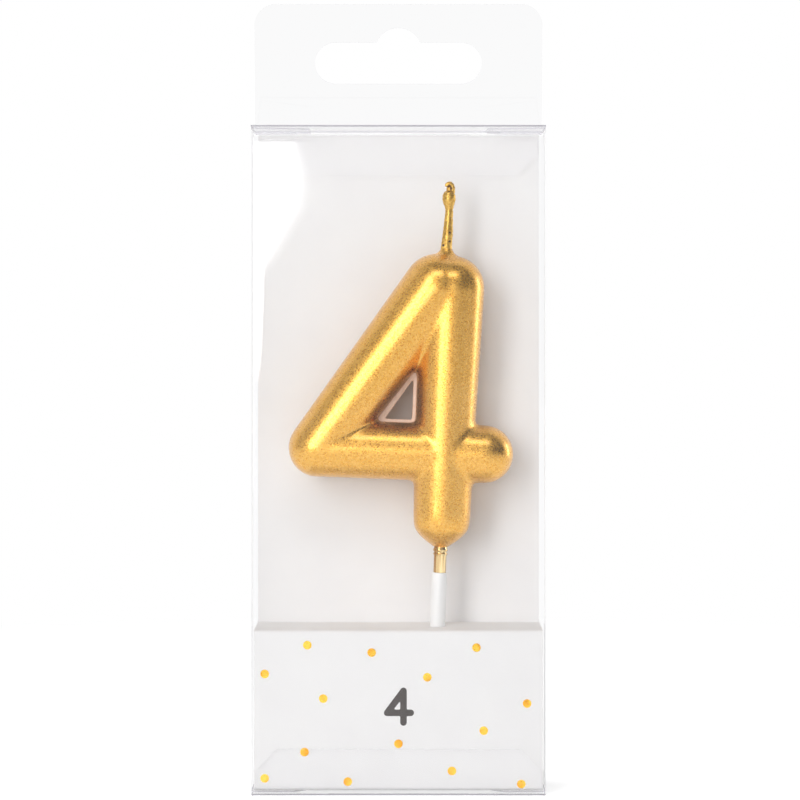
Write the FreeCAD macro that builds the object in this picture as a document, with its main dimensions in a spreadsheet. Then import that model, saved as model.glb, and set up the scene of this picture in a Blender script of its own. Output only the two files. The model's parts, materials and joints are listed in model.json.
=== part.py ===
import FreeCAD, Part
import os
import re

import Sketcher
from FreeCAD import Placement, Rotation, Vector

# A moulded number candle on its cake pick, packed in a folded clear box with a hang tab and a
# printed card insert. Millimetres. +Z is up, +X is to the viewer's right, the box's front faces
# -Y, and the origin is the middle of the box's underside.

DIMENSIONS = [
    # the clear folding box
    ("box_width", 55.0),
    ("box_depth", 20.0),
    ("box_height", 125.0),
    ("film", 0.3),  # thickness of the clear sheet
    ("fold_gap", 0.05),  # air between sheets that lie on each other or meet at a fold
    ("glue_width", 12.0),
    ("glue_inset", 2.0),  # how far the glue flap stops short of the top and bottom
    ("tuck_length", 8.6),  # tongue of the lid and of the base
    ("tuck_gap", 0.5),  # room that a tongue needs in front of the wall that it slides down
    ("tuck_side_gap", 0.8),
    ("tuck_corner", 4.0),
    ("slit_reach", 13.1),  # from the middle to where the tongue's slit lock begins
    ("slit_height", 0.8),
    ("dust_length", 10.8),
    ("dust_front_gap", 0.5),
    ("dust_slope", 0.35),  # how fast a dust flap's edge draws back, so that the lid can lift it
    ("dust_corner", 3.0),
    # the hang tab and its hole
    ("tab_length", 24.5),
    ("tab_corner", 4.0),
    ("tab_lean", 12.0),  # degrees forward of upright
    ("slot_width", 32.0),
    ("slot_height", 8.0),
    ("slot_rise", 13.2),  # from the tab's fold to the middle of the slot
    ("slot_bump_radius", 4.5),
    ("slot_bump_rise", 2.3),
    # the card insert
    ("card", 0.4),  # thickness of the card
    ("card_side_gap", 0.2),  # between the card and the side walls
    ("card_clearance", 0.35),  # between the lower tongue and the front card
    ("card_top_gap", 0.4),
    ("ledge_height", 30.7),  # top of the ledge above the ground
    ("lip_height", 8.0),
    ("foil", 0.05),
    ("dot_diameter", 1.6),
    # the cake pick
    ("pick_offset", 7.4),  # from the middle of the box to the hole in the ledge
    ("candle_lean", 2.25),  # degrees to the right of upright
    ("pick_radius", 1.45),
    ("pick_length", 39.5),
    ("pick_stand", 10.2),  # how much of the pick stands above the ledge
    ("pick_point_length", 6.0),
    ("pick_point_radius", 0.3),
    ("pick_running_gap", 0.08),
    ("socket_depth", 7.5),
    ("socket_gap", 0.05),
    # the candle, measured along its own upright from the top of the ledge
    ("post_radius", 1.2),
    ("post_shown", 5.0),
    ("post_embedded", 7.0),
    ("post_ring_radius", 1.45),
    ("post_ring_height", 0.5),
    ("mould_gap", 0.02),  # wax to what is cast into it
    ("neck_radius", 2.3),
    ("neck_height", 1.3),
    ("stem_radius", 5.6),
    ("top_rise", 49.2),  # from the foot of the stem to the centre of its rounded top
    ("bar_radius", 5.3),
    ("bar_rise", 17.7),  # from the foot of the stem to the middle of the crossbar
    ("bar_left", 24.0),
    ("bar_right", 7.6),
    ("slant_radius", 6.0),
    ("slant_top_offset", 2.5),
    ("slant_top_drop", 0.5),
    ("wick_radius", 0.95),
    ("wick_offset", 1.0),
    ("wick_shown", 14.2),
    ("wick_knob_radius", 1.3),
    ("wick_knob_length", 3.0),
    ("wick_tip_radius", 0.45),
    ("wick_base_wax", 1.8),  # wax left between the wick's lower end and the post
]

DERIVED = [
    ("half_width", "box_width / 2"),
    ("half_depth", "box_depth / 2"),
    ("card_width", "box_width - 2 * ( film + card_side_gap )"),
    ("two_sheets", "2 * film + fold_gap"),
    ("panel_bottom", "two_sheets + fold_gap"),
    ("card_bottom", "panel_bottom + fold_gap"),
    ("card_back_face", "half_depth - 2 * film - fold_gap - card"),
    ("card_front_face", "half_depth - 2 * film - tuck_gap - card_clearance"),
    ("lid_reach", "half_depth + card_back_face - tuck_gap"),
    ("base_reach", "box_depth - film - tuck_gap"),
    ("foot_rise", "pick_stand + post_shown"),
    ("tip_drop", "pick_length - pick_stand"),
]

# Round foil dots scattered over the front card: each centre as a share of the card's half width
# from the middle, and of the ledge's height from the ground.
DOT_CENTRES = [
    (-0.63, 0.91), (-0.185, 0.865), (0.54, 0.895), (-0.925, 0.735), (0.2, 0.715),
    (-0.52, 0.585), (0.89, 0.555), (0.59, 0.39), (0, 0.31), (-0.65, 0.26),
    (0.37, 0.145), (-0.925, 0.1), (-0.35, 0.08), (0.85, 0.065),
]

doc = FreeCAD.newDocument("BoxedNumberCandle")
sheet = doc.addObject("Spreadsheet::Sheet", "Dims")
parts = []


def fill_sheet():
    for row, (alias, value) in enumerate(DIMENSIONS + DERIVED, start=1):
        formula = f"={value}" if isinstance(value, str) else str(value)
        sheet.set(f"A{row}", alias)
        sheet.set(f"B{row}", formula)
        sheet.setAlias(f"B{row}", alias)
    doc.recompute()


def size(expression):
    """The number that an expression on the sheet's aliases gives."""
    return float(sheet.evalExpression(expression))


def bound(expression):
    """The same expression, as objects other than the sheet refer to it."""
    return re.sub(r"[a-z]\w*", lambda word: f"Dims.{word.group()}", expression)


def bind(thing, **expressions):
    for name, expression in expressions.items():
        thing.setExpression(name.replace("_", "."), bound(expression))


def keep(thing, label):
    """Marks an object as a sub-part of its own."""
    thing.Label = label
    parts.append(thing)
    return thing


def box(label, size_x, size_y, size_z, x, y, z):
    thing = doc.addObject("Part::Box", label)
    bind(thing, Length=size_x, Width=size_y, Height=size_z)
    bind(thing, Placement_Base_x=x, Placement_Base_y=y, Placement_Base_z=z)
    return thing


def cylinder(name, radius, height, placement=Placement()):
    thing = doc.addObject("Part::Cylinder", name)
    bind(thing, Radius=radius, Height=height)
    thing.Placement = placement
    return thing


def fused(name, shapes):
    thing = doc.addObject("Part::MultiFuse", name)
    thing.Shapes = shapes
    return thing


def cut(name, base, tool):
    thing = doc.addObject("Part::Cut", name)
    thing.Base = base
    thing.Tool = tool
    return thing


def outline(body, plane_role, corners):
    """A closed sketch through corners, each a pair of expressions, on one of the body's planes."""
    sketch = body.newObject("Sketcher::SketchObject", f"{body.Name}_outline")
    plane = next(item for item in body.Origin.OriginFeatures if item.Role == plane_role)
    sketch.AttachmentSupport = [(plane, "")]
    sketch.MapMode = "FlatFace"
    points = [Vector(size(x), size(y), 0) for x, y in corners]
    for start, end in zip(points, points[1:] + points[:1]):
        sketch.addGeometry(Part.LineSegment(start, end))
    for number, (x, y) in enumerate(corners):
        following = (number + 1) % len(corners)
        sketch.addConstraint(Sketcher.Constraint("Coincident", number, 2, following, 1))
        for kind, expression in (("DistanceX", x), ("DistanceY", y)):
            value = size(expression)
            index = sketch.addConstraint(Sketcher.Constraint(kind, -1, 1, number, 1, value))
            sketch.setExpression(f"Constraints[{index}]", bound(expression))
    return sketch


def sheet_body(label, plane_role, corners):
    """A flat piece of the clear sheet with the given outline."""
    body = doc.addObject("PartDesign::Body", label)
    sketch = outline(body, plane_role, corners)
    pad = body.newObject("PartDesign::Pad", f"{label}_pad")
    pad.Profile = sketch
    bind(pad, Length="film")
    return keep(body, label)


def turned_body(label, corners):
    """A solid turned about its own Z axis, from corners of radius and height."""
    body = doc.addObject("PartDesign::Body", label)
    sketch = outline(body, "XZ_Plane", corners)
    turning = body.newObject("PartDesign::Revolution", f"{label}_turning")
    turning.Profile = sketch
    turning.ReferenceAxis = (sketch, ["V_Axis"])
    turning.Angle = 360
    return keep(body, label)


def make_box_panels():
    """The four walls of the box and the flap that glues them into a tube."""
    walls = "box_depth - 2 * film"
    upright = "box_height - 2 * panel_bottom"
    keep(box("front_panel", "box_width", "film", "box_height - film - fold_gap",
             "-half_width", "-half_depth", "0"), "front_panel")
    keep(box("back_panel", "box_width", "film", "box_height - film - fold_gap",
             "-half_width", "half_depth - film", "film + fold_gap"), "back_panel")
    keep(box("left_panel", "film", walls, upright,
             "-half_width", "film - half_depth", "panel_bottom"), "left_panel")
    keep(box("right_panel", "film", walls, upright,
             "half_width - film", "film - half_depth", "panel_bottom"), "right_panel")
    keep(box("glue_flap", "glue_width", "film", "box_height - 2 * glue_inset",
             "film - half_width", "half_depth - 2 * film", "glue_inset"), "glue_flap")


def make_hang_tab():
    """The back wall's extension above the box, with round corners and a hang hole."""
    corner_x = "half_width - tab_corner"
    corner_z = "tab_length - tab_corner"
    plate = [
        box("tab_lower", "box_width", "film", corner_z, "-half_width", "0", "0"),
        box("tab_upper", f"2 * ( {corner_x} )", "film", "tab_length",
            f"-( {corner_x} )", "0", "0"),
    ]
    hole = [
        box("slot_middle", "slot_width - slot_height", "3 * film", "slot_height",
            "( slot_height - slot_width ) / 2", "-film", "slot_rise - slot_height / 2"),
        cylinder("slot_bump", "slot_bump_radius", "3 * film"),
    ]
    rounds = [(plate, "tab_corner", "film", corner_x, corner_z, "film"),
              (hole, "slot_height / 2", "3 * film", "( slot_width - slot_height ) / 2",
               "slot_rise", "2 * film")]
    for group, radius, depth, across, height, front in rounds:
        for side in (-1, 1):
            end = cylinder("round_end", radius, depth)
            place = Vector(side * size(across), size(front), size(height))
            end.Placement = Placement(place, Rotation(Vector(1, 0, 0), 90))
            group.append(end)
    bump_centre = Vector(0, size("2 * film"), size("slot_rise + slot_bump_rise"))
    hole[1].Placement = Placement(bump_centre, Rotation(Vector(1, 0, 0), 90))
    tab = cut("hang_tab", fused("tab_plate", plate), fused("tab_hole", hole))
    fold = Vector(0, size("half_depth - film"), size("box_height"))
    tab.Placement = Placement(fold, Rotation(Vector(1, 0, 0), size("tab_lean")))
    keep(tab, "hang_tab")


def tongue_corners():
    """Outline of a tuck tongue, hanging below its flap, whose outer face is at height zero."""
    side = "half_width - tuck_side_gap"
    fold = "-film - fold_gap"
    right = [
        ("slit_reach", fold),
        ("slit_reach", f"{fold} - slit_height"),
        (side, f"{fold} - slit_height"),
        (side, "tuck_corner - tuck_length"),
        (f"{side} - tuck_corner", "-tuck_length"),
    ]
    left = [(f"-( {x} )", z) for x, z in reversed(right)]
    return right + left


def dust_corners(hand):
    """Outline of a dust flap: distance from the middle of the box, distance from the main fold."""
    tip = "half_width - dust_length"
    front = "film + dust_front_gap"
    back = "box_depth - 3 * film - fold_gap - card - tuck_gap - card_clearance"
    corners = [
        ("half_width", front),
        ("half_width", back),
        (f"{tip} + dust_corner", back),
        (tip, f"{back} - dust_corner"),
        (tip, f"{front} + dust_slope * dust_length"),
    ]
    if hand == "right":
        return corners
    return [(f"-( {x} )", y) for x, y in reversed(corners)]


def make_closure(end, main_flap, reach, place):
    """One end of the box: the main flap, its tongue and the two dust flaps beneath it.

    It is laid out with the main fold on the X axis, the flap along +Y and outwards up, and then
    turned into place."""
    flap = doc.addObject("Part::Box", main_flap)
    bind(flap, Length="box_width", Width=reach, Height="film")
    flap.Placement = place * Placement(Vector(-size("half_width"), 0, -size("film")), Rotation())
    keep(flap, main_flap)
    tongue = sheet_body(f"{end}_tuck_tongue", "XZ_Plane", tongue_corners())
    tongue.Placement = place * Placement(Vector(0, size(reach), 0), Rotation())
    for hand in ("left", "right"):
        dust = sheet_body(f"{end}_dust_flap_{hand}", "XY_Plane", dust_corners(hand))
        dust.Placement = place * Placement(Vector(0, 0, -size("two_sheets")), Rotation())


def make_closures():
    top = Placement(Vector(0, -size("half_depth"), size("box_height")), Rotation())
    base = Placement(Vector(0, size("half_depth"), 0), Rotation(Vector(1, 0, 0), 180))
    make_closure("lid", "lid_flap", "lid_reach", top)
    make_closure("base", "base_flap", "base_reach", base)


def make_card():
    """The folded card: back, base, front with its dots, and the ledge that holds the pick."""
    left = "-card_width / 2"
    front_depth = "card_back_face + card_front_face"
    keep(box("card_back", "card_width", "card", "box_height - card_top_gap - card_bottom",
             left, "card_back_face", "card_bottom"), "card_back")
    keep(box("card_base", "card_width", f"{front_depth} - card", "card",
             left, "card - card_front_face", "card_bottom"), "card_base")
    keep(box("card_front", "card_width", "card", "ledge_height - card_bottom",
             left, "-card_front_face", "card_bottom"), "card_front")
    keep(box("card_lip", "card_width", "card", "lip_height",
             left, "card_back_face - card", "ledge_height - card - lip_height"), "card_lip")
    plate = box("ledge_plate", "card_width", f"{front_depth} - card", "card",
                left, "card - card_front_face", "ledge_height - card")
    reach = size("card") * 4
    below = candle_frame() * Placement(Vector(0, 0, -reach), Rotation())
    hole = cylinder("ledge_hole", "pick_radius + pick_running_gap", "card * 8", below)
    keep(cut("card_ledge", plate, hole), "card_ledge")


def make_dots():
    dots = []
    half_card, ledge = size("card_width / 2"), size("ledge_height")
    for across, up in DOT_CENTRES:
        centre = Vector(across * half_card, -size("card_front_face"), up * ledge)
        face = Placement(centre, Rotation(Vector(1, 0, 0), 90))
        dots.append(cylinder("dot", "dot_diameter / 2", "foil", face))
    group = doc.addObject("Part::Compound", "foil_dots")
    group.Links = dots
    keep(group, "foil_dots")


def candle_frame():
    """Where the pick's axis crosses the top of the ledge, with Z up along the leaning pick."""
    foot = Vector(size("pick_offset"), 0, size("ledge_height"))
    return Placement(foot, Rotation(Vector(0, 1, 0), size("candle_lean")))


def make_pick():
    floor = "pick_stand - socket_depth"
    socket = "post_radius + socket_gap"
    body = turned_body("cake_pick", [
        ("0", "-tip_drop"),
        ("pick_point_radius", "-tip_drop"),
        ("pick_radius", "pick_point_length - tip_drop"),
        ("pick_radius", "pick_stand"),
        (socket, "pick_stand"),
        (socket, floor),
        ("0", floor),
    ])
    body.Placement = candle_frame()


def make_post():
    """The stub that joins candle and pick: cast into the wax above, a push fit below."""
    ring = "foot_rise - neck_height - post_ring_height"
    body = turned_body("mounting_post", [
        ("0", "pick_stand - socket_depth + fold_gap"),
        ("post_radius", "pick_stand - socket_depth + fold_gap"),
        ("post_radius", ring),
        ("post_ring_radius", f"{ring} + post_ring_height / 2"),
        ("post_radius", f"{ring} + post_ring_height"),
        ("post_radius", "foot_rise + post_embedded"),
        ("0", "foot_rise + post_embedded"),
    ])
    body.Placement = candle_frame()


def make_wick():
    top = "foot_rise + top_rise + stem_radius + wick_shown"
    knob = f"{top} - wick_knob_length"
    foot = "foot_rise + post_embedded + wick_base_wax"
    body = turned_body("wick", [
        ("0", foot),
        ("wick_radius", foot),
        ("wick_radius", f"{knob} - wick_knob_length / 2"),
        ("wick_knob_radius", knob),
        ("wick_tip_radius", top),
        ("0", top),
    ])
    body.Placement = candle_frame() * Placement(Vector(-size("wick_offset"), 0, 0), Rotation())


def rounded_stroke(name, radius, start, end):
    """One stroke of the number: a round bar with ball ends, from start to end in (x, z)."""
    foot = Vector(start[0], 0, start[1])
    along = Vector(end[0], 0, end[1]) - foot
    bar = doc.addObject("Part::Cylinder", name)
    bind(bar, Radius=radius)
    bar.Height = along.Length
    bar.Placement = Placement(foot, Rotation(Vector(0, 0, 1), along))
    pieces = [bar]
    for centre in (foot, foot + along):
        ball = doc.addObject("Part::Sphere", f"{name}_end")
        bind(ball, Radius=radius)
        ball.Placement = Placement(centre, Rotation())
        pieces.append(ball)
    return pieces


def make_number():
    """The wax figure four: a stem, a crossbar and a slanting stroke, all round in section."""
    foot = size("foot_rise + stem_radius")
    top = size("foot_rise + top_rise")
    bar = size("foot_rise + bar_rise")
    slant_top = (-size("slant_top_offset"), top - size("slant_top_drop"))
    left_end = (-size("bar_left"), bar)
    pieces = rounded_stroke("stem", "stem_radius", (0, foot), (0, top))
    pieces += rounded_stroke("crossbar", "bar_radius", left_end, (size("bar_right"), bar))
    pieces += rounded_stroke("slant", "slant_radius", left_end, slant_top)
    neck = doc.addObject("Part::Cone", "neck")
    bind(neck, Radius1="post_ring_radius", Radius2="neck_radius", Height="2 * neck_height")
    neck.Placement = Placement(Vector(0, 0, size("foot_rise - neck_height")), Rotation())
    wax = fused("number_wax", pieces + [neck])
    post_foot = Vector(0, 0, size("foot_rise - 2 * neck_height"))
    post_bore = cylinder("post_bore", "post_radius + mould_gap",
                         "post_embedded + 2 * neck_height + mould_gap",
                         Placement(post_foot, Rotation()))
    wick_foot = Vector(-size("wick_offset"), 0,
                       size("foot_rise + post_embedded + wick_base_wax - mould_gap"))
    wick_bore = cylinder("wick_bore", "wick_radius + mould_gap", "top_rise + 2 * stem_radius",
                         Placement(wick_foot, Rotation()))
    number = cut("number_four", wax, fused("candle_bores", [post_bore, wick_bore]))
    number.Placement = candle_frame()
    keep(number, "number_four")


def check_document():
    doc.recompute()
    for thing in doc.Objects:
        if {"Invalid", "Error"} & set(thing.State):
            raise RuntimeError(f"{thing.Label} failed: {thing.State}")
    for part in parts:
        if part.Shape.isNull() or not part.Shape.isValid() or not part.Shape.Solids:
            raise RuntimeError(f"{part.Label} has no valid solid")


def write_parts():
    os.makedirs("parts", exist_ok=True)
    for part in parts:
        part.Shape.exportStep(os.path.join("parts", f"{part.Label}.step"))
        edges = part.Shape.BoundBox
        print(f"{part.Label}: {len(part.Shape.Solids)} solid(s), {part.Shape.Volume:.1f} mm3, "
              f"x {edges.XMin:.2f} to {edges.XMax:.2f}, y {edges.YMin:.2f} to {edges.YMax:.2f}, "
              f"z {edges.ZMin:.2f} to {edges.ZMax:.2f}")


fill_sheet()
make_box_panels()
make_hang_tab()
make_closures()
make_card()
make_dots()
make_pick()
make_post()
make_wick()
make_number()
check_document()
write_parts()
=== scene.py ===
# %% [markdown]
# # A gold number candle in its clear hang box
#
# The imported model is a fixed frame: every piece below is made in metres, in the same place as the
# solid that it dresses, and rides on that solid's body, so it follows the lid, the pick or the
# candle when a joint moves. The clear sheet, the card, the wax and the wick each get their own
# cell with the way they are made.

# %% Load the frame
import json
import math

import bmesh
import bpy
from mathutils import Matrix, Vector, noise


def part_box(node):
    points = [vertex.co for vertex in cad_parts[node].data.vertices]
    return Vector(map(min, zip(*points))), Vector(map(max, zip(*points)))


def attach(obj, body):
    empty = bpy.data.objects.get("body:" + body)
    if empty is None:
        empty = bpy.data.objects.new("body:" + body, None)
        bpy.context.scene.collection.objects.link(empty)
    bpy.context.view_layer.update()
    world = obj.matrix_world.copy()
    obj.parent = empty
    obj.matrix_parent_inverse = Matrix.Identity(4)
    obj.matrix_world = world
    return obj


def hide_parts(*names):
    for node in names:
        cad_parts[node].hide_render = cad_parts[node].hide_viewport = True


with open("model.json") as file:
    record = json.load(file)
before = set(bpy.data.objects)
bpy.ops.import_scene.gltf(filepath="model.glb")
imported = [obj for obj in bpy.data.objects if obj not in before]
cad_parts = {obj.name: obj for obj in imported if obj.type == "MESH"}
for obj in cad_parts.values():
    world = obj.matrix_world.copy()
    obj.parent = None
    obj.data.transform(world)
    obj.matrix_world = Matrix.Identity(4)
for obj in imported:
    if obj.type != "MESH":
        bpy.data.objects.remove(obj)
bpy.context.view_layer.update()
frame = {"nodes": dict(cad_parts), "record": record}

MM = 0.001

# %% [markdown]
# ## Writing shaders as sums
#
# A material's pattern is a formula over the surface. Instead of placing Math nodes one by one,
# a small class wraps a node's output and gives it the usual operators, so `1 - mask * 0.5` adds
# the nodes that work it out. Colours are mixed with Mix nodes, because Math nodes know only grey.

# %% A socket that can be used in formulas
class Wire:
    """An output of a shader node that can be added, subtracted, multiplied and raised."""

    def __init__(self, tree, socket):
        self.tree, self.socket = tree, socket

    def math(self, operation, *others):
        """A Math node over this output and further outputs or numbers."""
        node = self.tree.nodes.new("ShaderNodeMath")
        node.operation = operation
        for place, value in enumerate((self, *others)):
            connect(self.tree, node.inputs[place], value)
        return Wire(self.tree, node.outputs[0])

    def __add__(self, other):
        return self.math("ADD", other)

    def __radd__(self, other):
        return self + other

    def __sub__(self, other):
        return self.math("SUBTRACT", other)

    def __rsub__(self, other):
        return (self * -1) + other

    def __mul__(self, other):
        return self.math("MULTIPLY", other)

    def __rmul__(self, other):
        return self * other

    def __pow__(self, other):
        return self.math("POWER", other)

    def ramp(self, low, high):
        """0 up to low, 1 from high on, and a straight rise between."""
        node = self.tree.nodes.new("ShaderNodeMapRange")
        node.inputs["From Min"].default_value = low
        node.inputs["From Max"].default_value = high
        connect(self.tree, node.inputs["Value"], self)
        return Wire(self.tree, node.outputs["Result"])


def connect(tree, socket, value):
    """Gives a socket a link, if value is a Wire, or a plain number or colour."""
    if isinstance(value, Wire):
        tree.links.new(value.socket, socket)
    elif isinstance(value, (tuple, list)) and socket.type == "RGBA" and len(value) == 3:
        socket.default_value = (*value, 1.0)
    else:
        socket.default_value = value


class Finish:
    """The nodes of a material, or of the world, under construction."""

    def __init__(self, name, kind="Material"):
        shelf = bpy.data.materials if kind == "Material" else bpy.data.worlds
        self.material = shelf.new(name)
        self.material.use_nodes = True
        self.tree = self.material.node_tree
        self.tree.nodes.clear()
        self.output = self.tree.nodes.new("ShaderNodeOutput" + kind)

    def node(self, kind, settings=None, output=0, **sockets):
        """Adds a node: its settings first, then the values or links of its sockets."""
        made = self.tree.nodes.new("ShaderNode" + kind)
        for name, value in (settings or {}).items():
            setattr(made, name, value)
        for name, value in sockets.items():
            connect(self.tree, made.inputs[name.replace("_", " ")], value)
        return Wire(self.tree, made.outputs[output])

    def mix(self, factor, first, second):
        """A colour between two colours."""
        made = self.tree.nodes.new("ShaderNodeMix")
        made.data_type = "RGBA"
        for socket, value in zip((made.inputs[0], made.inputs[6], made.inputs[7]),
                                 (factor, first, second)):
            connect(self.tree, socket, value)
        return Wire(self.tree, made.outputs[2])

    def place(self, stretch=(1, 1, 1)):
        """The piece's own coordinates, in metres, stretched along each axis."""
        here = self.node("TexCoord", output="Object")
        return self.node("Mapping", {"vector_type": "POINT"}, Vector=here, Scale=stretch)

    def grain(self, size, detail=2.0, stretch=(1, 1, 1), roughness=0.5):
        """Soft noise from 0 to 1 whose blotches are about size metres across."""
        return self.node("TexNoise", Vector=self.place(stretch), Scale=1 / size, Detail=detail,
                         Roughness=roughness)

    def blend(self, factor, first, second):
        """A shader between two shaders."""
        return self.shaders("MixShader", (first, second), 1, Fac=factor)

    def shaders(self, kind, pair, start, **sockets):
        """A node that joins two shaders, which go into its sockets from number start on."""
        made = self.node(kind, **sockets)
        for number, shader in enumerate(pair):
            self.tree.links.new(shader.socket, made.socket.node.inputs[start + number])
        return made

    def bump(self, height, depth, strength=1.0):
        """A relief that is depth metres deep where height is 1."""
        return self.node("Bump", Height=height, Distance=depth, Strength=strength)

    def finish(self, shader):
        """Ends the material or the world with its shader."""
        self.tree.links.new(shader.socket, self.output.inputs["Surface"])
        print("finish", self.material.name, "with", len(self.tree.nodes), "nodes")
        return self.material


# %% [markdown]
# ## Camera
#
# The camera stands far away with a long lens, so that the box's sides hardly show. It looks
# straight along +Y at about two thirds of the box's height. The lens is shifted a little down
# instead of tilting the camera, which keeps the uprights parallel.

# %% Camera
camera_data = bpy.data.cameras.new("camera")
camera_data.lens = 142.5
camera_data.sensor_width = 36.0
camera_data.shift_y = -0.0875
camera_data.clip_start, camera_data.clip_end = 0.01, 20.0
camera = bpy.data.objects.new("camera", camera_data)
camera.location = (0.3 * MM, -600 * MM, 86.8 * MM)
camera.rotation_euler = (math.radians(90), 0, 0)
bpy.context.scene.collection.objects.link(camera)
bpy.context.scene.camera = camera
print("camera at", [round(value, 3) for value in camera.location])

# %% [markdown]
# ## Making pieces
#
# Each piece is a mesh of its own. `piece` turns corner points and faces into an object, gives it
# its finish and says which body carries it and which solids it stands for.

# %% Helpers for pieces
def piece(name, mesh, finish, body, stands_for=(), smooth=True):
    """Puts a mesh in the scene as a piece that rides on a body."""
    made = bpy.data.objects.new(name, mesh)
    bpy.context.scene.collection.objects.link(made)
    for material in finish if isinstance(finish, (list, tuple)) else [finish]:
        mesh.materials.append(material)
    for face in mesh.polygons:
        face.use_smooth = smooth
    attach(made, body)
    if stands_for:
        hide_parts(*stands_for)
    print(name, "has", len(mesh.polygons), "faces and rides on", body)
    return made


def mesh_of(name, corners, faces):
    """A mesh from corner points in metres and faces that number them."""
    mesh = bpy.data.meshes.new(name)
    mesh.from_pydata([tuple(corner) for corner in corners], [], faces)
    mesh.update()
    return mesh


def with_modifiers(mesh, *recipes):
    """The mesh after a list of (modifier type, settings)."""
    worker = bpy.data.objects.new("worker", mesh)
    bpy.context.scene.collection.objects.link(worker)
    for kind, settings in recipes:
        modifier = worker.modifiers.new(kind.lower(), kind)
        for name, value in settings.items():
            setattr(modifier, name, value)
    bpy.context.view_layer.update()
    seen = worker.evaluated_get(bpy.context.evaluated_depsgraph_get())
    made = bpy.data.meshes.new_from_object(seen)
    bpy.data.objects.remove(worker)
    return made


def turned(profile, steps=48):
    """Corners and faces of a shape turned about Z, from (radius, height) pairs that start and end
    on the axis."""
    corners, faces = [], []
    inner = profile[1:-1]
    for radius, height in inner:
        for step in range(steps):
            angle = 2 * math.pi * step / steps
            corners.append((radius * math.cos(angle), radius * math.sin(angle), height))
    for number in range(len(inner) - 1):
        low, high = number * steps, (number + 1) * steps
        for step in range(steps):
            after = (step + 1) % steps
            faces.append((low + step, low + after, high + after, high + step))
    foot, top = len(corners), len(corners) + 1
    last = (len(inner) - 1) * steps
    corners += [(0, 0, profile[0][1]), (0, 0, profile[-1][1])]
    for step in range(steps):
        after = (step + 1) % steps
        faces.append((foot, after, step))
        faces.append((top, last + step, last + after))
    return corners, faces


# %% [markdown]
# ## Where things stand
#
# The box's sizes come from the frame. The candle leans a little in its hole, so its pieces are
# made upright and then turned about the point where the pick crosses the ledge.

# %% Measures
box_low, box_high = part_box("front_panel")
back_low, back_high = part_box("back_panel")
half_width = box_high[0]
front_y, back_y = box_low[1], back_high[1]
box_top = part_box("lid_flap")[1][2]
film = box_high[1] - box_low[1]
ledge_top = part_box("card_front")[1][2]
lift_axis = next(joint["axis"] for joint in frame["record"]["behaviour"]["joints"]
                 if joint["name"] == "pick_lift")
lean = math.atan2(lift_axis[0], lift_axis[2])
pick_foot = Vector((7.4 * MM, 0, ledge_top))
candle_place = Matrix.Translation(pick_foot) @ Matrix.Rotation(lean, 4, "Y")
print("box", round(2 * half_width / MM, 1), "mm wide, candle leans", round(math.degrees(lean), 2))

# %% [markdown]
# ## Gold lacquer
#
# The wax is sprayed with a lacquer full of fine metal flakes. Seen close, the flakes make a sandy
# glitter: each one tilts its own way. A very fine noise therefore changes the colour, the
# roughness and the bump together, and a broader one makes the coat slightly uneven. A clear coat
# on top gives the pale highlights. Deep in the figure's window the gold is painted dull and brown,
# with less coat, as painted shade in the recess; the distance from the window's middle is the mask.
#
# The stub's gold is smooth. Noise that is stretched along it paints pale and amber streaks into its
# colour as painted reflections.

# %% Gold lacquer
# Millimetres along the candle, up from the ledge, and across it from the pick's axis.
foot_rise = 15.2
stem_top, bar_rise = foot_rise + 49.2, foot_rise + 17.7
window_foot, window_side = bar_rise + 5.45, -5.75
window_middle = candle_place @ (Vector((window_side - 2.2, 0, window_foot + 3.4)) * MM)


def gold_lacquer(name, pale, deep, roughness, relief_depth):
    """Flaky gold between two colours, turned dull and brown in the figure's window as painted
    shade.
    """
    made = Finish(name)
    flake = 0.24 * MM
    cells = made.node("TexVoronoi", output="Color", Vector=made.place(), Scale=1 / flake)
    spark = made.node("SeparateColor", Color=cells)
    sand = made.grain(flake, detail=2.0)
    clouds = made.grain(5 * MM, detail=2.0)
    around = made.node("Mapping", Vector=made.node("TexCoord", output="Object"),
                       Location=-window_middle, Scale=(1, 1.6, 1))
    reach = made.node("VectorMath", {"operation": "LENGTH"}, output="Value", Vector=around)
    # Painted shade: near the window's middle the gold is mixed to a dull brown and loses most of
    # its coat.
    window_shade = 1 - reach.ramp(6.0 * MM, 9.5 * MM)
    colour = made.mix(spark * 0.55 + sand.ramp(0.38, 0.62) * 0.35 + clouds * 0.1, deep, pale)
    colour = made.mix(window_shade, colour, (0.52, 0.31, 0.10))
    rough = roughness + (spark - 0.5) * 0.20 + (clouds - 0.5) * 0.05
    relief = made.bump(spark * 0.25 + sand, relief_depth)
    glints = (0.35 + spark * 0.65) * (1 - window_shade * 0.8)
    return made.finish(made.node("BsdfPrincipled", Base_Color=colour, Metallic=1.0,
                                 Roughness=rough, Normal=relief, Coat_Weight=glints,
                                 Coat_Roughness=0.25, Coat_IOR=1.75))


lacquer = gold_lacquer("gold_lacquer", (0.98, 0.56, 0.08), (0.66, 0.29, 0.012), 0.33, 0.014 * MM)


def streaked_gold():
    """Smooth gold with long painted reflections: pale and amber streaks by turns."""
    made = Finish("stub_gold")
    streaks = made.grain(0.9 * MM, detail=2.0, stretch=(1, 1, 0.05))
    grit = made.grain(0.12 * MM, detail=2.0)
    # Painted reflections: the streaks swap between dark amber and pale gold.
    colour = made.mix(streaks.ramp(0.40, 0.60), (0.42, 0.18, 0.015), (1.0, 0.80, 0.42))
    return made.finish(made.node("BsdfPrincipled", Base_Color=colour, Metallic=1.0,
                                 Roughness=0.18 + grit * 0.08, Coat_Weight=0.6,
                                 Normal=made.bump(streaks + grit * 0.2, 0.02 * MM)))


stub_gold = streaked_gold()

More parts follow.
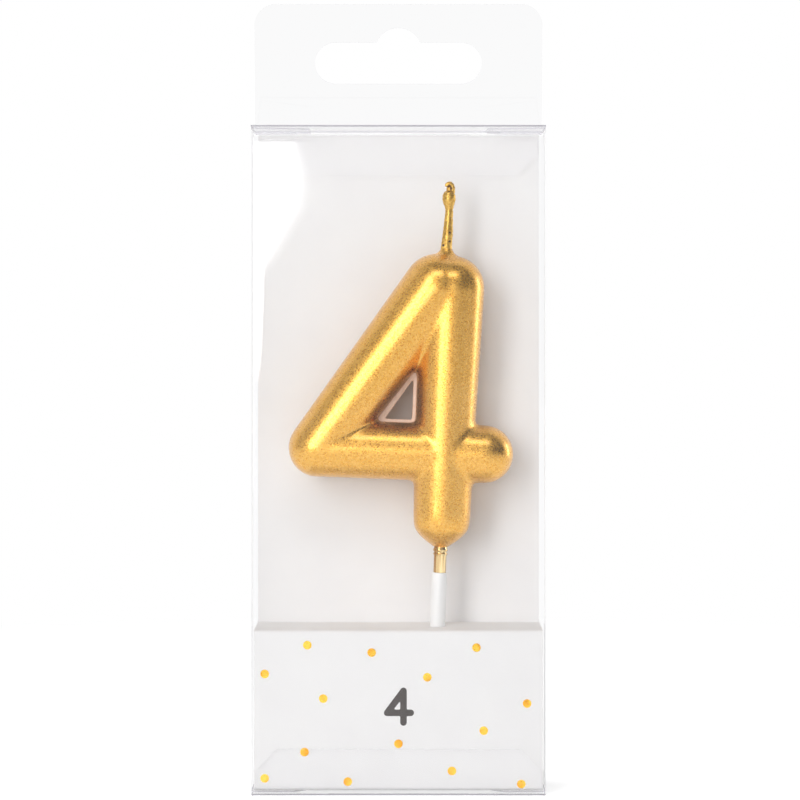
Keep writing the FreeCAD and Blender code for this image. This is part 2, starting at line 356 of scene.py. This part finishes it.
# %% [markdown]
# ## The wax figure
#
# The figure is cast in a mould whose strokes are round bars that run into each other. Three
# such bars and a small neck are laid over one another and remeshed on a fine grid, which welds
# them into one skin. Smoothing then rounds the valleys between the strokes, as melted wax does,
# and leaves the round outsides as they are.

# %% The wax figure
def capsule(radius, start, end, steps=64, rings=16):
    """A bar with ball ends between two points of the figure, in millimetres (across, up)."""
    foot, head = Vector((start[0], 0, start[1])), Vector((end[0], 0, end[1]))
    length = (head - foot).length
    arc = [math.pi / 2 * number / rings for number in range(rings + 1)]
    profile = [(radius * math.sin(angle), -radius * math.cos(angle)) for angle in arc]
    profile += [(radius * math.cos(angle), length + radius * math.sin(angle)) for angle in arc]
    corners, faces = turned(profile, steps)
    turn = Vector((0, 0, 1)).rotation_difference(head - foot).to_matrix()
    return [(foot + turn @ Vector(corner)) * MM for corner in corners], faces


def joined(shapes):
    """Several (corners, faces) in one."""
    corners, faces = [], []
    for more_corners, more_faces in shapes:
        start = len(corners)
        corners += more_corners
        faces += [tuple(start + index for index in face) for face in more_faces]
    return corners, faces


def stem_shape(lean_out=0.25, rings=14):
    """The upright stroke: a foot that narrows in a round, and a slightly thicker round top."""
    foot = [(0, -0.3), (1.45, -0.3), (1.65, 0.1), (2.7, 0.7), (4.1, 1.9), (5.0, 3.0),
            (5.35, 4.3), (5.45, 6.0), (5.5, 9.0), (5.65, 14.0), (5.75, 24.0), (6.0, 38.0)]
    arc = [math.pi / 2 * number / rings for number in range(rings + 1)]
    head = [(6.15 * math.cos(angle), 48.9 + 6.15 * math.sin(angle)) for angle in arc]
    corners, faces = turned(foot + head, 64)
    placed = [(x + lean_out * max(z - 24, 0) / 24, y, z + foot_rise) for x, y, z in corners]
    return [Vector(corner) * MM for corner in placed], faces


def cone_bar(start_radius, end_radius, start, end):
    """A capsule that gets thicker along the way, built from balls strung on its axis."""
    corners, faces = capsule(start_radius, start, end)
    foot = Vector((start[0], 0, start[1])) * MM
    axis = Vector((end[0], 0, end[1])) * MM - foot
    grown = []
    for corner in corners:
        share = min(max((corner - foot).dot(axis) / axis.length_squared, 0), 1)
        centre = foot + axis * share
        growth = 1 + (end_radius / start_radius - 1) * share
        grown.append(centre + (corner - centre) * growth)
    return grown, faces


# Wax that runs up the wick: (radius, height) in millimetres.
root_profile = [(0, -3), (5.0, -2.2), (3.4, -0.9), (2.2, 0.0), (1.5, 0.8), (1.15, 1.6),
                (1.0, 2.2), (0, 2.2)]
root_corners, root_faces = turned(root_profile)
root_centre = Vector((-1.1, 0, stem_top + 5.6))
root = ([(Vector(corner) + root_centre) * MM for corner in root_corners], root_faces)
bar_left, bar_right = (-24.0, bar_rise), (7.6, bar_rise)
slant_top = (-2.6, stem_top - 0.3)
strokes = [
    stem_shape(),
    capsule(5.5, bar_left, bar_right),
    cone_bar(5.55, 6.45, bar_left, slant_top),
    root,
]
grid, rounds = ((0.25, 45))
figure = with_modifiers(
    mesh_of("figure", *joined(strokes)),
    ("REMESH", {"mode": "VOXEL", "voxel_size": grid * MM}),
    ("SMOOTH", {"factor": 0.5, "iterations": rounds}),
)
figure.transform(candle_place)
piece("number_four_wax", figure, lacquer, "candle", ["number_four"])

# %% [markdown]
# ## The web in the window
#
# Where the two halves of the mould meet, a thin web of wax stays in the 4's window. The lacquer
# hardly reaches it, so it keeps the pale peach colour of the wax. It is a flat triangle with a
# rounded triangle left open: three slim bars, welded and flattened.

# %% The web in the window
def bare_wax():
    """Peach wax in soft clouds."""
    made = Finish("bare_wax")
    clouds = made.grain(1.2 * MM, detail=2.0)
    colour = made.mix(clouds, (0.74, 0.46, 0.32), (0.92, 0.70, 0.58))
    return made.finish(made.node("BsdfPrincipled", Base_Color=colour,
                                 Roughness=0.35 + clouds * 0.1,
                                 Normal=made.bump(clouds, 0.05 * MM)))


web_bars = [
    capsule(0.75, (-12.5, window_foot - 0.2), (window_side, window_foot - 0.2), 24, 6),
    capsule(0.75, (-12.7, window_foot), (-6.6, window_foot + 9.3), 24, 6),
    capsule(0.65, (window_side, window_foot), (window_side, window_foot + 9.4), 24, 6),
]
web = with_modifiers(mesh_of("web", *joined(web_bars)),
                     ("REMESH", {"mode": "VOXEL", "voxel_size": 0.15 * MM}),
                     ("SMOOTH", {"factor": 0.5, "iterations": 14}))
flatten_web = Matrix.Scale(0.35, 4, (0, 1, 0))
web.transform(candle_place @ flatten_web)
piece("window_web", web, bare_wax(), "candle")

# %% [markdown]
# ## Clear film
#
# A thin clear sheet hardly bends what is behind it, so it isn't made as solid glass. One skin is
# enough: light goes straight through a transparent shader, and a polished one lies over it with
# the strength that plastic mirrors, little when seen square and much when seen along the sheet.
# The sheet's cut edges catch the light and look grey, so the rims are faces of their own with a
# denser finish. The darker rims on the lid's and the base's front edges are painted shade.

# %% Clear film
def clear_film(name, square, grazing, clearness):
    """Film whose mirror image is as strong as square seen straight on, plus grazing along it."""
    made = Finish(name)
    edge_on = made.node("LayerWeight", output=1, Blend=0.5)
    waves = made.grain(16 * MM, detail=1.0)
    scuffs = made.grain(3 * MM, detail=4.0, stretch=(1, 1, 0.4))
    through = made.node("BsdfTransparent", Color=(clearness, clearness, clearness + 0.002))
    gloss = made.node("BsdfPrincipled", Base_Color=(0.97, 0.97, 0.98), Metallic=1.0,
                      Roughness=0.015 + scuffs * 0.03, Normal=made.bump(waves, 0.02 * MM))
    return made.finish(made.blend(square + grazing * edge_on ** 5.0, through, gloss))


def cut_edge(name, tone, density):
    """The rim of a cut sheet: grey with a touch of lilac."""
    made = Finish(name)
    through = made.node("BsdfTransparent", Color=(1, 1, 1))
    nicks = made.grain(0.8 * MM, detail=3.0)
    colour = made.mix(nicks, (tone * 0.92, tone * 0.88, tone), (tone, tone * 0.96, tone * 1.08))
    glint = made.node("BsdfPrincipled", Base_Color=colour, Roughness=0.2 + nicks * 0.15)
    return made.finish(made.blend(density, through, glint))


film_wall = clear_film("film_wall", 0.04, 0.6, 0.99)
film_flap = clear_film("film_flap", 0.01, 0.3, 0.998)
film_tab = clear_film("film_tab", 0.03, 0.4, 0.955)
edge_pale = cut_edge("edge_pale", 0.66, 0.5)
# Painted shade: a darker copy of the rim finish, for the front edges of the lid and the base.
edge_painted_shade = cut_edge("edge_painted_shade", 0.40, 0.85)


def single_skin(node, out):
    """One broad side of a flat solid, the one that looks along out, with the rims around it."""
    shape = bmesh.new()
    shape.from_mesh(frame["nodes"][node].data)
    out = Vector(out)
    hidden = [face for face in shape.faces if face.normal.dot(out) < -0.6]
    bmesh.ops.delete(shape, geom=hidden, context="FACES")
    for face in shape.faces:
        face.material_index = 0 if face.normal.dot(out) > 0.6 else 1
    mesh = bpy.data.meshes.new(node + "_film")
    shape.to_mesh(mesh)
    shape.free()
    return mesh


tab_lean = math.radians(12)
tab_out = (0, -math.cos(tab_lean), -math.sin(tab_lean))
front, back, up, down = (0, -1, 0), (0, 1, 0), (0, 0, 1), (0, 0, -1)
flaps = [
    ("hang_tab", "carton", tab_out, film_tab),
    ("glue_flap", "carton", back, film_flap),
    ("lid_flap", "lid", up, film_flap),
    ("lid_tuck_tongue", "lid_tongue", front, film_flap),
    ("lid_dust_flap_left", "lid_dust_left", up, film_flap),
    ("lid_dust_flap_right", "lid_dust_right", up, film_flap),
    ("base_flap", "base", down, film_flap),
    ("base_tuck_tongue", "base_tongue", front, film_flap),
    ("base_dust_flap_left", "base_dust_left", down, film_flap),
    ("base_dust_flap_right", "base_dust_right", down, film_flap),
]
for node, body, out, broad in flaps:
    skin = single_skin(node, out)
    if node in ("lid_flap", "base_flap"):
        # Their front edges are the dark lines above and below the front wall, in painted shade.
        for face in skin.polygons:
            if face.material_index == 1 and face.center.y < front_y + 1 * MM:
                face.material_index = 2
    piece(node + "_film", skin, [broad, edge_pale, edge_painted_shade], body, [node],
          smooth=False)

# %% [markdown]
# ## The box's sleeve
#
# The four walls are one sheet, creased at the uprights. A rounded rectangle is walked around once
# and stacked in rows as the outer skin, with inward rims at the bottom and top, so the creases get
# a small radius that catches a line of light. The broad walls bow inwards by a fraction of a
# millimetre, as thin film does, and that is what bends the softboxes' reflections.

# %% The sleeve
def sleeve_ring(inset, corner, across=28, along=8):
    """Points (x, y) once around the box, inset from its outside."""
    wide, deep = half_width - inset - corner, back_y - inset - corner
    points = []
    for quarter, (x, y) in enumerate(((wide, -deep), (wide, deep), (-wide, deep), (-wide, -deep))):
        for step in range(5):
            angle = math.radians(90 * quarter - 90 + 22.5 * step)
            points.append((x + corner * math.cos(angle), y + corner * math.sin(angle)))
        side = along if quarter % 2 == 0 else across
        turn = math.radians(90 * quarter)
        after = ((wide, deep), (-wide, deep), (-wide, -deep), (wide, -deep))[quarter]
        for step in range(1, side):
            share = step / side
            points.append((x + (after[0] - x) * share + corner * math.cos(turn),
                           y + (after[1] - y) * share + corner * math.sin(turn)))
    return points


def wall_bow(x, y, height):
    """How far a point of the wall moves towards the inside, along Y."""
    if abs(y) < back_y - 0.8 * MM:
        return 0
    share = (1 - (x / half_width) ** 2) * math.sin(math.pi * height / box_top) ** 0.7
    wave = noise.noise(Vector((x / 0.03, y * 100, height / 0.045)))
    return -math.copysign((0.16 + 0.14 * wave) * MM * share, y)


def wall_span(x, y):
    """Lowest and highest point of the wall there: the side walls leave room for the dust flaps."""
    if abs(x) > half_width - 0.9 * MM and abs(y) < back_y - 0.35 * MM:
        low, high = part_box("left_panel")
    elif y < 0:
        low, high = box_low, box_high
    else:
        low, high = (0, 0, back_low[2]), (0, 0, box_high[2])
    return low[2], high[2]


def make_sleeve(rows=44):
    """The outer skin, then a rim at the bottom and one at the top that turn inwards."""
    outside, inside = sleeve_ring(0, 0.6 * MM), sleeve_ring(film, 0.3 * MM)
    corners, faces = [], []
    count = len(outside)

    def add_ring(ring, share):
        """One row of corners, at a share of the wall's height."""
        for (x, y), (outer_x, outer_y) in zip(ring, outside):
            low, high = wall_span(outer_x, outer_y)
            height = low + (high - low) * share
            corners.append((x, y + wall_bow(outer_x, outer_y, height), height))

    for row in range(rows + 1):
        add_ring(outside, row / rows)
    add_ring(inside, 0)
    add_ring(inside, 1)
    bands = [(row, row + 1) for row in range(rows)] + [(rows + 1, 0), (rows, rows + 2)]
    for lower, upper in bands:
        for step in range(count):
            after = (step + 1) % count
            faces.append((lower * count + step, lower * count + after,
                          upper * count + after, upper * count + step))
    mesh = mesh_of("sleeve", corners, faces)
    for number in range(rows * count, len(faces)):
        mesh.polygons[number].material_index = 1
    return mesh


piece("box_sleeve", make_sleeve(), [film_wall, edge_pale], "carton",
      ["front_panel", "back_panel", "left_panel", "right_panel"])

# %% [markdown]
# ## White card
#
# Coated card is nearly flat white. What gives it away is a faint fibre relief, a slightly warmer
# tone in clouds, and folds that are round and not knife sharp. The insert is one strip: down the
# back, forward along the floor, up the front, back along the ledge, and down behind as a lip.
# The strip's profile is a polyline whose corners are swapped for small arcs.

# %% White card
def white_card():
    """Nearly flat white with a faint fibre relief."""
    made = Finish("white_card")
    fibres = made.grain(0.35 * MM, detail=4.0, stretch=(0.5, 1, 1))
    clouds = made.grain(9 * MM, detail=2.0)
    colour = made.mix(clouds, (0.88, 0.87, 0.875), (0.93, 0.925, 0.92))
    relief = made.bump(fibres, 0.012 * MM, 0.5)
    return made.finish(made.node("BsdfPrincipled", Base_Color=colour,
                                 Roughness=0.52 + fibres * 0.12, Normal=relief))


def rounded_path(points, radius, steps=5):
    """A polyline whose right-angled corners are quarter circles."""
    path = [Vector(points[0])]
    for before, corner, after in zip(points, points[1:], points[2:]):
        corner = Vector(corner)
        come = (Vector(before) - corner).normalized() * radius
        go = (Vector(after) - corner).normalized() * radius
        centre = corner + come + go
        for step in range(steps + 1):
            angle = math.pi / 2 * step / steps
            path.append(centre - go * math.cos(angle) - come * math.sin(angle))
    return path + [Vector(points[-1])]


def card_strip(path, thickness, left, right, across=36):
    """A sheet that follows path in (y, z), from left to right in x."""
    sides = []
    for number, point in enumerate(path):
        before, after = path[max(number - 1, 0)], path[min(number + 1, len(path) - 1)]
        along = (after - before).normalized()
        out = Vector((-along.y, along.x)) * thickness / 2
        sides.append((point + out, point - out))
    loop = [pair[0] for pair in sides] + [pair[1] for pair in reversed(sides)]
    corners, faces = [], []
    for column in range(across + 1):
        x = left + (right - left) * column / across
        for y, z in loop:
            wave = 0.10 * MM * noise.noise(Vector((x / 0.012, 0, 0))) if z > box_top * 0.97 else 0
            corners.append((x, y, z + wave))
    count = len(loop)
    for column in range(across):
        for step in range(count):
            after = (step + 1) % count
            a, b = column * count + step, column * count + after
            faces.append((a, a + count, b + count, b))
    half = count // 2
    for start, flip in ((0, False), (across * count, True)):
        for step in range(half - 1):
            quad = (start + step, start + step + 1, start + count - 2 - step,
                    start + count - 1 - step)
            faces.append(quad[::-1] if flip else quad)
    return mesh_of("card", corners, faces)


card_white = white_card()
back_face, lip_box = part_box("card_back"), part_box("card_lip")
card_low, card_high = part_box("card_front")
card = card_high[1] - card_low[1]
front_middle, back_middle = card_low[1] + card / 2, back_face[0][1] + card / 2
lip_middle = lip_box[0][1] + card / 2
route = [
    (back_middle, back_face[1][2] - 0.1 * MM), (back_middle, card_low[2] + card / 2),
    (front_middle, card_low[2] + card / 2), (front_middle, ledge_top - card / 2),
    (lip_middle, ledge_top - card / 2), (lip_middle, lip_box[0][2]),
]
strip = card_strip(rounded_path(route, 0.45 * MM), card, card_low[0], card_high[0])
hole_radius = 1.53  # millimetres, a running fit round the pick
drill_profile = [(0, -3), (hole_radius, -3), (hole_radius, 3), (0, 3)]
drill_corners, drill_faces = turned(drill_profile, 40)
drill_mesh = mesh_of("drill", [Vector(corner) * MM for corner in drill_corners], drill_faces)
drill_mesh.transform(candle_place)
drill = bpy.data.objects.new("drill", drill_mesh)
bpy.context.scene.collection.objects.link(drill)
strip = with_modifiers(strip, ("BOOLEAN", {"object": drill, "operation": "DIFFERENCE",
                                           "solver": "EXACT"}))
bpy.data.objects.remove(drill)
piece("card_insert", strip, card_white, "carton",
      ["card_back", "card_base", "card_front", "card_ledge", "card_lip"],
      smooth=False)

# %% [markdown]
# ## Gold foil and the printed numeral
#
# The dots are foil, pressed on hot: a mirror that takes on the card's unevenness. The numeral is
# plain dark ink, a hair's breadth proud of the card, so it is a thin mesh of its own.

# %% Foil and ink
def gold_foil():
    """A dented mirror in two tones of gold."""
    made = Finish("gold_foil")
    dents = made.grain(1.1 * MM, detail=2.0)
    shade = made.grain(2.3 * MM, detail=1.0)
    colour = made.mix(shade.ramp(0.35, 0.65), (0.90, 0.42, 0.02), (1.0, 0.68, 0.08))
    relief = made.bump(dents, 0.09 * MM)
    return made.finish(made.node("BsdfPrincipled", Base_Color=colour, Metallic=1.0,
                                 Roughness=0.12 + dents * 0.1, Normal=relief))


def dark_ink():
    """Nearly black brown with fine specks."""
    made = Finish("dark_ink")
    specks = made.grain(0.25 * MM, detail=3.0)
    colour = made.mix(specks, (0.045, 0.036, 0.034), (0.075, 0.062, 0.058))
    return made.finish(made.node("BsdfPrincipled", Base_Color=colour,
                                 Roughness=0.42 + specks * 0.15))


foil_finish = gold_foil()
foil_slots = frame["nodes"]["foil_dots"].material_slots
for foil_slot in foil_slots:
    foil_slot.material = foil_finish
print("foil dots: finish given to", len(foil_slots), "slot")
numeral_strokes = [
    capsule(0.62, (0.95, -3.0), (0.95, 2.9), steps=24, rings=6),
    capsule(0.62, (0.95, 2.9), (-2.1, -1.2), steps=24, rings=6),
    capsule(0.62, (-2.1, -1.2), (2.3, -1.2), steps=24, rings=6),
]
numeral = with_modifiers(mesh_of("numeral", *joined(numeral_strokes)),
                         ("REMESH", {"mode": "VOXEL", "voxel_size": 0.12 * MM}))
numeral_middle = Matrix.Translation((0, card_low[1], 16.5 * MM))
numeral.transform(numeral_middle @ Matrix.Scale(0.04, 4, (0, 1, 0)))
piece("printed_numeral", numeral, dark_ink(), "carton")

# %% [markdown]
# ## White plastic pick and gold stub
#
# The pick is a moulded tube with a softly rounded mouth; the stub that holds the candle has a
# small bead where the lacquer ran. Both are turned shapes, made from a profile.

# %% Pick and stub
def white_plastic():
    """White plastic with faint streaks along the pick."""
    made = Finish("white_plastic")
    clouds = made.grain(4 * MM, detail=2.0)
    streaks = made.grain(0.6 * MM, detail=3.0, stretch=(1, 1, 0.15))
    colour = made.mix(clouds, (0.90, 0.90, 0.90), (0.95, 0.95, 0.94))
    return made.finish(made.node("BsdfPrincipled", Base_Color=colour,
                                 Roughness=0.3 + streaks * 0.1,
                                 Normal=made.bump(streaks, 0.01 * MM, 0.4)))


def turned_piece(name, profile, finish, body, stands_for):
    """A piece turned about the candle's axis, from (radius, height) pairs in millimetres."""
    corners, faces = turned(profile, 56)
    mesh = mesh_of(name, [Vector(corner) * MM for corner in corners], faces)
    mesh.transform(candle_place)
    return piece(name, mesh, finish, body, [stands_for])


pick_profile = [
    (0, -29.3), (0.18, -29.28), (0.3, -29.1), (0.52, -28.2), (0.9, -26.5), (1.2, -25.0),
    (1.38, -24.0), (1.44, -23.3), (1.45, -22.5), (1.45, 9.9), (1.42, 10.1), (1.36, 10.18),
    (1.29, 10.2), (1.26, 10.15), (1.25, 10.0), (1.25, 2.7), (0, 2.7),
]
turned_piece("cake_pick_tube", pick_profile, white_plastic(), "pick", "cake_pick")
stub_profile = [
    (0, 2.75), (1.15, 2.75), (1.2, 2.85), (1.2, 13.3), (1.24, 13.5), (1.34, 13.6), (1.38, 13.75),
    (1.30, 13.9), (1.18, 14.0), (1.20, 14.1), (1.36, 14.25), (1.42, 14.45), (1.36, 14.65),
    (1.25, 14.8), (1.3, 16), (0, 16),
]
turned_piece("candle_stub", stub_profile, stub_gold, "candle", "mounting_post")

# %% [markdown]
# ## The wick
#
# The wick is braided cotton, dipped with the figure, so the lacquer has filled most of the braid.
# A tube is swept along its path with a radius that swells to a knot near the top, and a second,
# thinner one curls over it. Remeshing welds them, and noise along the surface gives the lumps.

# %% The wick
def swept(points, radii, steps=24):
    """A closed tube through points with the given radii."""
    corners, faces = [], []
    side = Vector((0, 1, 0))
    for number, (point, radius) in enumerate(zip(points, radii)):
        before, after = points[max(number - 1, 0)], points[min(number + 1, len(points) - 1)]
        along = (after - before).normalized()
        side = (side - along * side.dot(along)).normalized()
        other = along.cross(side)
        for step in range(steps):
            angle = 2 * math.pi * step / steps
            corners.append(point + (side * math.cos(angle) + other * math.sin(angle)) * radius)
    for number in range(len(points) - 1):
        for step in range(steps):
            after = (step + 1) % steps
            a, b = number * steps + step, number * steps + after
            faces.append((a, a + steps, b + steps, b))
    last = (len(points) - 1) * steps
    faces.append(tuple(range(steps)))
    faces.append(tuple(last + step for step in reversed(range(steps))))
    return corners, faces


def flowing(knots, count):
    """Points along a smooth curve through knots of (across, depth, up, radius), in millimetres."""
    knots = [Vector(knot) for knot in knots]
    knots = [knots[0]] + knots + [knots[-1]]
    found = []
    for number in range(1, len(knots) - 2):
        for step in range(count):
            a, b, c, d = knots[number - 1:number + 3]
            share = step / count
            found.append(((b * 2) + (c - a) * share + (a * 2 - b * 5 + c * 4 - d) * share ** 2
                          + (b * 3 - a - c * 3 + d) * share ** 3) / 2)
    found.append(knots[-2])
    return [knot.xyz * MM for knot in found], [knot.w * MM for knot in found]


wick_top = stem_top + 5.6
# Knots of (across, depth, up from wick_top, radius), in millimetres.
shank = [
    (-1.15, 0, -6, 0.9), (-1.15, 0, -1, 1.0), (-1.15, 0, 1.2, 1.1), (-1.08, 0, 2.6, 1.02),
    (-0.97, 0, 4.4, 0.98), (-0.92, 0, 6.5, 0.86), (-0.87, 0, 8.7, 0.75), (-0.9, 0, 9.5, 0.9),
    (-0.98, 0, 10.4, 1.18), (-1.0, 0, 11.2, 1.27), (-0.96, 0, 11.9, 1.12), (-0.9, 0, 12.4, 0.7),
]
hook = [
    (-0.55, 0, 11.6, 0.55), (-0.42, 0, 12.5, 0.52), (-0.42, -0.05, 13.15, 0.47),
    (-0.64, -0.1, 13.65, 0.46), (-1.05, -0.15, 13.82, 0.47), (-1.40, -0.2, 13.55, 0.47),
    (-1.50, -0.2, 13.2, 0.36),
]
# A third lobe closes the hollow under the curl from behind, and the wick's finish paints it near
# black there as painted shade.
shade_backing = [(-1.0, 0.5, 11.6, 0.6), (-1.05, 0.5, 12.4, 0.55), (-0.98, 0.42, 13.2, 0.5)]
wick_shapes = [swept(*flowing([(x, y, z + wick_top, r) for x, y, z, r in knots], 6))
               for knots in (shank, hook, shade_backing)]
wick_mesh = with_modifiers(mesh_of("wick", *joined(wick_shapes)),
                           ("REMESH", {"mode": "VOXEL", "voxel_size": 0.08 * MM}),
                           ("SMOOTH", {"factor": 0.5, "iterations": 3}))
for vertex in wick_mesh.vertices:
    height = vertex.co.z / MM
    around = math.atan2(vertex.co.y, vertex.co.x + 1.0 * MM)
    braid = math.sin(3 * around + 4.2 * height) * math.sin(3 * around - 4.2 * height)
    lumps = noise.noise(vertex.co / (0.55 * MM))
    vertex.co += vertex.normal * (0.03 * braid + 0.06 * lumps) * MM
wick_mesh.transform(candle_place)


def wick_gold():
    """Lacquered cotton, with a few small dark spots where the lacquer is missing, and painted shade
    in the hollow under the curl.
    """
    made = Finish("wick_gold")
    flakes = made.grain(0.14 * MM, detail=3.0)
    lumps = made.grain(0.5 * MM, detail=3.0)
    wobble = made.grain(0.25 * MM, detail=2.0)
    here = made.node("TexCoord", output="Object")
    pit_and_shade_mask = None
    # Each dark spot is (across, up from wick_top, radius), in millimetres. The first is painted
    # shade in the hollow under the curl; the others are small spots where the lacquer is missing.
    dark_spots = [(-1.02, 12.95, 0.62), (-0.62, 4.6, 0.24), (-0.72, 4.2, 0.2), (-0.78, 2.9, 0.2),
            (-0.5, 2.95, 0.15), (-0.7, 2.5, 0.15), (-1.75, 2.1, 0.25), (-1.45, 12.0, 0.15),
            (-0.5, 11.95, 0.16)]
    for across, up, reach in dark_spots:
        centre = candle_place @ (Vector((across, -0.75, up + wick_top)) * MM)
        gap = made.node("VectorMath", {"operation": "DISTANCE"}, output="Value", Vector=here)
        gap.socket.node.inputs[1].default_value = centre
        far = (gap * (1 / MM) + wobble * 0.25 - 0.12).ramp(reach * 0.85, reach * 1.15)
        pit_and_shade_mask = far if pit_and_shade_mask is None else pit_and_shade_mask * far
    tone = lumps.ramp(0.35, 0.65) * 0.55 + flakes * 0.45
    gold = made.mix(tone, (0.42, 0.20, 0.025), (0.98, 0.64, 0.16))
    # Spots without lacquer and the painted shade of the hollow share one near-black colour.
    colour = made.mix(pit_and_shade_mask, (0.06, 0.018, 0.006), gold)
    relief = made.bump(lumps * 0.7 + flakes * 0.3 + pit_and_shade_mask * 0.5, 0.07 * MM)
    return made.finish(made.node("BsdfPrincipled", Base_Color=colour, Metallic=pit_and_shade_mask,
                                 Roughness=0.32 + flakes * 0.16, Normal=relief))


piece("braided_wick", wick_mesh, wick_gold(), "candle", ["wick"])

# %% [markdown]
# ## Light
#
# Polished and clear things show their surroundings, so each lamp works twice: it lights the card,
# and the gold and the film mirror it. All four are ordinary area lamps. A tall one on the left and
# a wide one above make the long highlights, a slim one on the right makes the rim, and an oval one
# behind the camera is the white patch at the film's upper left. The room around them is a soft
# gradient without edges: pale in front and on the left, grey behind, and dim on the right.
#
# The floor is pale paint. Further out the eye sees pure white there instead of more lamp light,
# and near the object the shadow stays.

# %% Lamps, world and floor
def softbox(name, centre, target, width, height, power):
    """An area lamp, in metres and watts, that looks at target."""
    data = bpy.data.lights.new(name, "AREA")
    data.shape, data.size, data.size_y = "RECTANGLE", width, height
    data.energy = power
    lamp = bpy.data.objects.new(name, data)
    lamp.location = centre
    aim = Vector(target) - Vector(centre)
    lamp.rotation_euler = aim.to_track_quat("-Z", "Y").to_euler()
    bpy.context.scene.collection.objects.link(lamp)
    return lamp


middle = (0, 0, 70 * MM)
softbox("left_softbox", (-0.49, -0.96, 0.30), middle, 0.30, 0.95, 4.8)
softbox("high_softbox", (0.0, -0.72, 0.92), middle, 0.70, 0.30, 2.2)
softbox("right_softbox", (0.75, 0.27, 0.10), middle, 0.12, 0.60, 1.2)
mirrored = softbox("mirrored_disc", (-0.206, -1.19, 0.150), (-0.206, 0, 0.150), 0.32, 0.18, 1.0)
mirrored.data.shape = "ELLIPSE"


def shown_rays(made):
    """1 for rays that come from the eye, also by way of a mirror or through a clear thing."""
    kinds = [made.node("LightPath", output=f"Is {kind} Ray")
             for kind in ("Camera", "Glossy", "Transmission")]
    return (kinds[0] + kinds[1] + kinds[2]).math("MINIMUM", 1.0)


def studio_floor():
    """White paint that keeps shadows near the object and shows as pure white further out."""
    made = Finish("studio_floor")
    dust = made.grain(40 * MM, detail=2.0)
    paint = made.node("BsdfDiffuse", Color=made.mix(dust, (0.90, 0.90, 0.90), (0.93, 0.93, 0.93)))
    glow = made.node("Emission", Color=(1, 1, 1), Strength=0.46)
    near = made.shaders("AddShader", (paint, glow), 0)
    far = made.node("Emission", Color=(1, 1, 1), Strength=1.0)
    distance = made.node("VectorMath", {"operation": "LENGTH"}, output="Value",
                         Vector=made.node("TexCoord", output="Object"))
    seen = made.blend(distance.ramp(0.08, 0.35), near, far)
    return made.finish(made.blend(shown_rays(made), paint, seen))


def studio_room():
    """White as the eye sees it, and for the light a soft gradient that is dim on the right."""
    made = Finish("studio_room", "World")
    direction = made.node("TexCoord", output="Generated")
    depth = made.node("SeparateXYZ", output="Y", Vector=direction)
    right = made.node("SeparateXYZ", output="X", Vector=direction)
    ahead = (depth * -1).ramp(0.55, 0.95)
    behind = depth.ramp(0.0, 0.2)
    above = made.node("SeparateXYZ", output="Z", Vector=direction).ramp(0.1, 0.7)
    ahead = ahead * (0.66 - right.ramp(0.0, 0.4) * 0.45)
    level = 0.06 + ahead + above * 0.14 + behind * 0.50 + (right * -1).ramp(0.2, 0.9) * 0.45
    room = made.node("Background", Color=(1, 1, 1), Strength=level)
    white = made.node("Background", Color=(1, 1, 1), Strength=1.0)
    rays = made.node("LightPath", output="Is Camera Ray")
    clear = made.node("LightPath", output="Is Transmission Ray")
    mirrored = made.node("LightPath", output="Is Glossy Ray") * behind
    shown = (rays + clear + mirrored).math("MINIMUM", 1.0)
    return made.finish(made.blend(shown, room, white))


floor_mesh = mesh_of("floor", [(-3, -3, 0), (3, -3, 0), (3, 3, 0), (-3, 3, 0)], [(0, 1, 2, 3)])
floor = bpy.data.objects.new("floor", floor_mesh)
floor_mesh.materials.append(studio_floor())
bpy.context.scene.collection.objects.link(floor)
bpy.context.scene.world = studio_room()
bpy.context.scene.view_settings.view_transform = "Standard"
